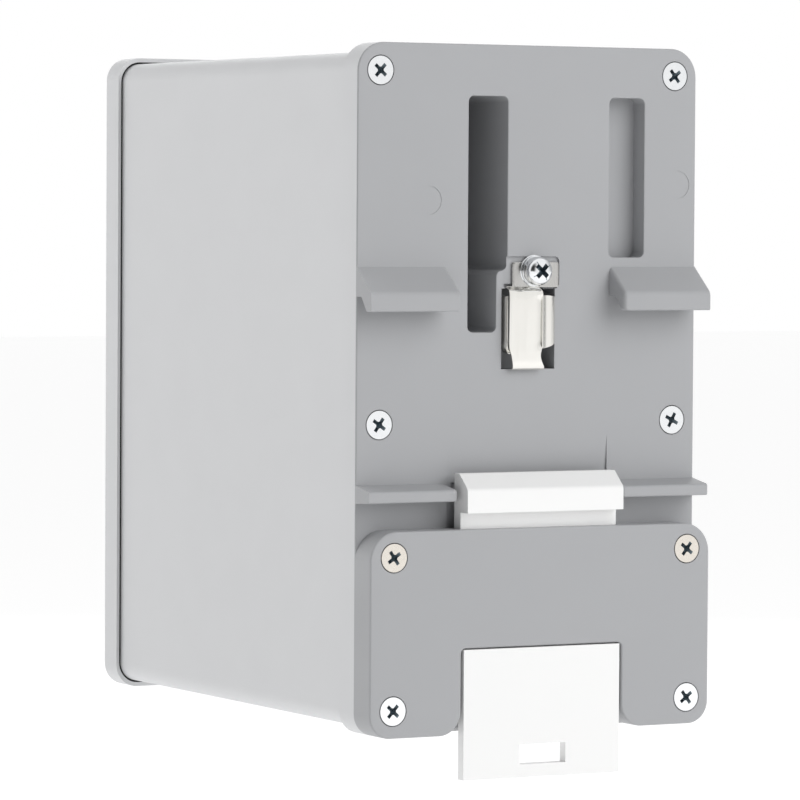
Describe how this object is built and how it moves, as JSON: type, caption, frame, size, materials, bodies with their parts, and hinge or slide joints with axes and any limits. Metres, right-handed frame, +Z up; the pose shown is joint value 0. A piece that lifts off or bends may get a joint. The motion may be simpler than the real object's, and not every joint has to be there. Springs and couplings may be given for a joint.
{
  "type": "din rail network switch",
  "caption": "Box-shaped rail-mounted network switch with a hooked back plate, sprung release foot, earth contact and a front of data sockets.",
  "frame": {"origin": "centre of the rail seat, on the back plate's outer face, midway between hook root and ledge root", "axes": "+Z up, +Y out of the back towards the rail, front face towards -Y, +X to the right when looking at the front"},
  "size_m": [0.0754, 0.1163, 0.1382],
  "materials": {
    "housing_plastic": "smooth light grey moulding, low sheen",
    "plate_plastic": "fine matt grey moulding",
    "latch_plastic": "white acetal, low sheen",
    "spring_steel": "drawn wire",
    "nickel_strip": "bright nickel plate on spring strip",
    "zinc_steel": "bright zinc plate",
    "nickel_steel": "nickel plate",
    "brass": "turned",
    "tinned_copper": "tinned",
    "gasket_rubber": "matt",
    "panel_film": "dark grey printed film, fine texture",
    "connector_shield": "tinned shell",
    "connector_black": "moulded",
    "switch_body": "moulded",
    "lever_white": "moulded",
    "gold_pin": "gold flash",
    "plug_plastic": "moulded",
    "light_pipe": "clear, frosted end",
    "lamp_resin": "clear resin",
    "circuit_board": "solder resist",
    "chip_epoxy": "moulded epoxy",
    "heat_sink_metal": "anodised",
    "ferrite": "sintered",
    "capacitor_sleeve": "shrink sleeve",
    "relay_case": "moulded",
    "fuse_case": "moulded"
  },
  "bodies": {
    "root": {"housing_shell": "housing_plastic", "back_plate": "plate_plastic", "latch_cover": "plate_plastic", "latch_springs": "spring_steel", "earth_contact_base": "nickel_strip", "earth_screw": "zinc_steel", "earth_spring_washer": "zinc_steel", "earth_flat_washer": "zinc_steel", "earth_insert": "brass", "earth_strap": "tinned_copper", "plate_screws": "zinc_steel", "long_plate_screws": "zinc_steel", "cover_screws": "nickel_steel", "cover_inserts": "brass", "housing_inserts": "brass", "front_bezel": "housing_plastic", "bezel_gasket": "gasket_rubber", "front_panel": "panel_film", "front_screws": "zinc_steel", "console_jack": "connector_black", "usb_socket": "connector_shield", "dip_switch_body": "switch_body", "power_pins": "gold_pin", "power_header": "connector_black", "light_pipes": "light_pipe", "status_leds": "lamp_resin", "port_board": "circuit_board", "logic_board": "circuit_board", "power_board": "circuit_board", "front_standoffs": "nickel_steel", "rear_standoffs": "nickel_steel", "board_screws": "zinc_steel", "port_board_socket": "connector_black", "logic_board_header": "connector_black", "logic_board_socket": "connector_black", "power_board_header": "connector_black", "line_transformers": "chip_epoxy", "switch_processor": "chip_epoxy", "processor_heat_sink": "heat_sink_metal", "power_transformer": "ferrite", "input_capacitors": "capacitor_sleeve", "output_capacitors": "capacitor_sleeve", "supply_choke": "ferrite", "alarm_relay": "relay_case", "input_fuse": "fuse_case", "power_regulators": "chip_epoxy", "port_jack_1": "connector_shield", "port_jack_2": "connector_shield", "port_jack_3": "connector_shield", "port_jack_4": "connector_shield", "port_jack_5": "connector_shield", "port_jack_6": "connector_shield", "port_jack_7": "connector_shield", "port_jack_8": "connector_shield"},
    "rail_foot": {"rail_latch": "latch_plastic"},
    "earth_leaf": {"earth_contact_leaf": "nickel_strip"},
    "supply_plug": {"power_plug": "plug_plastic", "plug_screws": "zinc_steel"},
    "switch_lever_1": {"dip_lever_1": "lever_white"},
    "switch_lever_2": {"dip_lever_2": "lever_white"}
  },
  "joints": [
    {"name": "foot_slide", "type": "slide", "parent": "root", "child": "rail_foot", "axis": [0, 0, 1], "range_m": [-0.003, 0], "stiffness_N_per_m": 2200, "springref_m": 0.005, "deforming": ["latch_springs"]},
    {"name": "contact_flex", "type": "hinge", "parent": "root", "child": "earth_leaf", "pos_m": [0, -0.0002, 0.01985], "axis": [1, 0, 0], "range_deg": [-7, 0], "stiffness_Nm_per_rad": 0.1, "springref_deg": 2.86},
    {"name": "plug_pull", "type": "slide", "parent": "root", "child": "supply_plug", "axis": [0, -1, 0], "range_m": [0, 0.015]},
    {"name": "switch_1_slide", "type": "slide", "parent": "root", "child": "switch_lever_1", "axis": [0, 0, 1], "range_m": [0, 0.0019]},
    {"name": "switch_2_slide", "type": "slide", "parent": "root", "child": "switch_lever_2", "axis": [0, 0, 1], "range_m": [0, 0.0019]}
  ]
}
